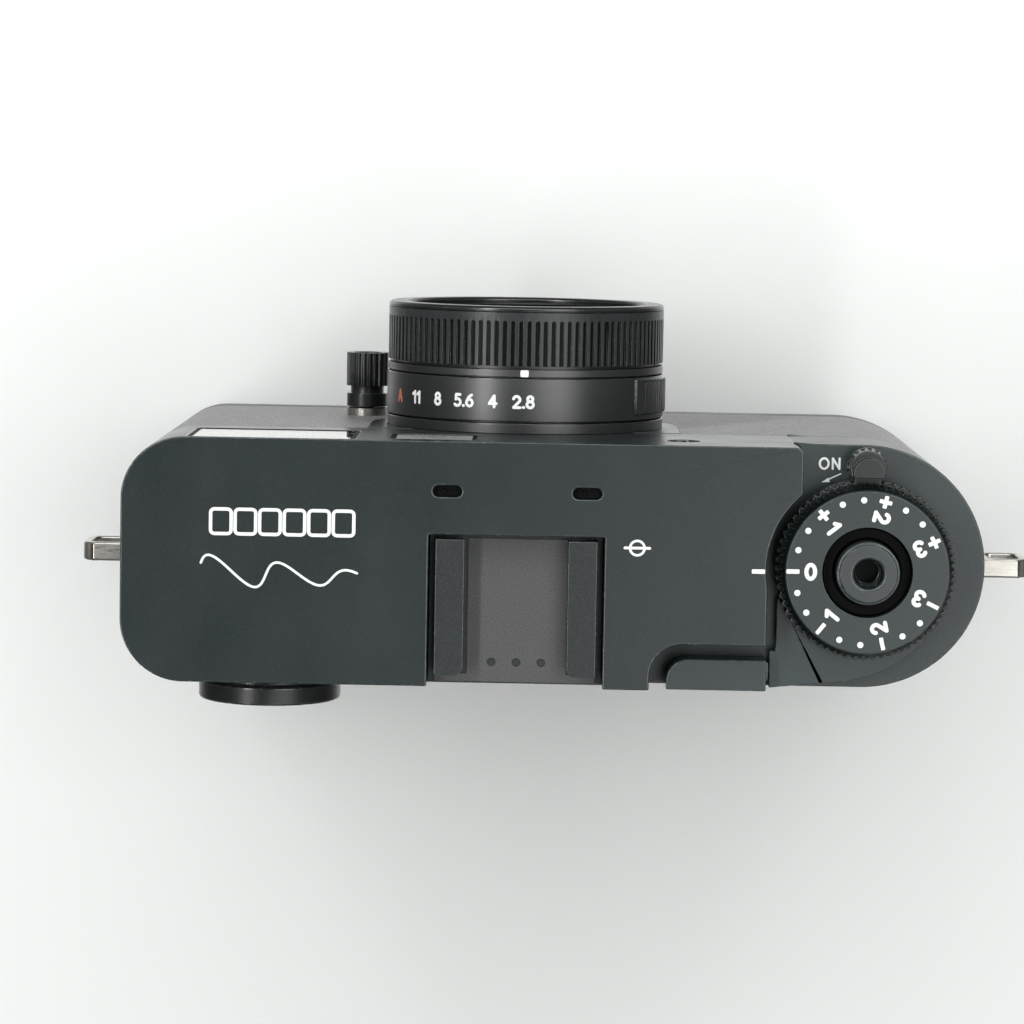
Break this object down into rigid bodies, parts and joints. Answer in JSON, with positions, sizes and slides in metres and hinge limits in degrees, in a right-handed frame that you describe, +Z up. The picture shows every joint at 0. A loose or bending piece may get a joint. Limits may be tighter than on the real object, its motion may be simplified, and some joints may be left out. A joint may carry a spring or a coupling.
{
  "type": "half frame camera",
  "caption": "Compact half frame camera with a short fixed lens, turning aperture and focus rings, exposure dial, advance lever, accessory shoe and round eyepiece.",
  "frame": {"origin": "mouth of the tripod socket in the base, straight below the lens axis, at half the depth of the body", "axes": "+Z up through the top cover, lens points along -Y, +X towards the viewfinder end, -X towards the dial end"},
  "size_m": [0.1168, 0.0489, 0.0643],
  "materials": {
    "cover_black": "fine satin black",
    "shell_black": "satin black",
    "leather_black": "fine grained black covering",
    "ring_black": "black anodised, satin",
    "dark_plastic": "dull black",
    "lug_steel": "brushed, warm grey",
    "shoe_metal": "black anodised, worn grey",
    "glass_clear": "coated",
    "lamp_amber": "tinted",
    "flash_white": "ribbed diffuser",
    "screen_glass": "gloss black",
    "rubber_black": "soft black",
    "board_green": "solder mask",
    "frame_alloy": "cast, plain",
    "brass_insert": "bright",
    "sensor_dark": "coated",
    "card_blue": "printed",
    "cell_grey": "plain"
  },
  "bodies": {
    "camera_body": {"top_cover": "cover_black", "shoulder_deck": "cover_black", "front_shell": "shell_black", "back_shell": "shell_black", "bottom_plate": "shell_black", "leather_front": "leather_black", "leather_back": "leather_black", "lens_panel": "cover_black", "chassis": "frame_alloy", "mount_ring": "ring_black", "lens_barrel": "ring_black", "index_ring": "ring_black", "front_bezel": "ring_black", "baffle_ring": "dark_plastic", "front_element": "glass_clear", "shutter_unit": "dark_plastic", "rear_element": "glass_clear", "image_sensor": "sensor_dark", "sensor_board": "board_green", "button_post": "ring_black", "button_spring": "lug_steel", "accessory_shoe": "shoe_metal", "shoe_plate": "shoe_metal", "mic_mesh_a": "dark_plastic", "mic_mesh_b": "dark_plastic", "finder_window": "glass_clear", "finder_tube": "dark_plastic", "finder_element": "glass_clear", "eyepiece_ring": "ring_black", "eyepiece_glass": "glass_clear", "flash_window": "flash_white", "flash_unit": "cell_grey", "lamp_lens": "lamp_amber", "screen_window": "screen_glass", "screen_module": "cell_grey", "status_window": "screen_glass", "main_board": "board_green", "battery_box": "dark_plastic", "battery": "cell_grey", "memory_card": "card_blue", "door_pin": "lug_steel", "tripod_bush": "brass_insert", "base_screws": "lug_steel", "strap_lug_left": "lug_steel", "strap_lug_right": "lug_steel", "usb_socket": "lug_steel"},
    "focus_ring": {"focus_ring": "ring_black"},
    "aperture_ring": {"aperture_ring": "ring_black"},
    "focus_group": {"focus_group": "dark_plastic", "focus_element": "glass_clear"},
    "exposure_dial": {"exposure_dial": "ring_black"},
    "power_lever": {"power_lever": "ring_black"},
    "advance_lever": {"advance_lever": "ring_black", "advance_lever_tip": "dark_plastic"},
    "shutter_button": {"shutter_button": "ring_black"},
    "focus_mode_knob": {"focus_mode_knob": "ring_black"},
    "battery_door": {"battery_door": "shell_black"},
    "door_latch": {"door_latch": "lug_steel"},
    "usb_flap": {"usb_flap": "rubber_black"},
    "play_button": {"play_button": "ring_black"}
  },
  "joints": [
    {"name": "focus_turn", "type": "hinge", "parent": "camera_body", "child": "focus_ring", "pos_m": [0, -0.026, 0.031], "axis": [0, -1, 0], "continuous": true},
    {"name": "aperture_turn", "type": "hinge", "parent": "camera_body", "child": "aperture_ring", "pos_m": [0, -0.019, 0.031], "axis": [0, -1, 0], "range_deg": [0, 62.3]},
    {"name": "focus_travel", "type": "slide", "parent": "camera_body", "child": "focus_group", "axis": [0, -1, 0], "range_m": [0, 0.0012]},
    {"name": "exposure_turn", "type": "hinge", "parent": "camera_body", "child": "exposure_dial", "pos_m": [-0.0421, 0, 0.061], "axis": [0, 0, 1], "range_deg": [-154.3, 154.3]},
    {"name": "power_turn", "type": "hinge", "parent": "camera_body", "child": "power_lever", "pos_m": [-0.0421, 0, 0.058], "axis": [0, 0, 1], "range_deg": [0, 22]},
    {"name": "advance_swing", "type": "hinge", "parent": "camera_body", "child": "advance_lever", "pos_m": [-0.0421, 0, 0.056], "axis": [0, 0, 1], "range_deg": [0, 45], "stiffness_Nm_per_rad": 0.02, "springref_deg": -17.19},
    {"name": "shutter_press", "type": "slide", "parent": "camera_body", "child": "shutter_button", "axis": [0, 0, -1], "range_m": [0, 0.0012], "stiffness_N_per_m": 400, "springref_m": -0.0015},
    {"name": "focus_mode_turn", "type": "hinge", "parent": "camera_body", "child": "focus_mode_knob", "pos_m": [0.0211, -0.02, 0.017], "axis": [0, -1, 0], "range_deg": [0, 60]},
    {"name": "battery_door_swing", "type": "hinge", "parent": "camera_body", "child": "battery_door", "pos_m": [-0.0175, 0.001, 0.0013], "axis": [0, -1, 0], "range_deg": [0, 90]},
    {"name": "door_latch_slide", "type": "slide", "parent": "battery_door", "child": "door_latch", "axis": [-1, 0, 0], "range_m": [0, 0.0014]},
    {"name": "connector_flap_swing", "type": "hinge", "parent": "camera_body", "child": "usb_flap", "pos_m": [0.04815, 0.004, 0.022], "axis": [0, 0, 1], "range_deg": [0, 110]},
    {"name": "play_press", "type": "slide", "parent": "camera_body", "child": "play_button", "axis": [0, -1, 0], "range_m": [0, 0.0004], "stiffness_N_per_m": 400, "springref_m": -0.001}
  ]
}
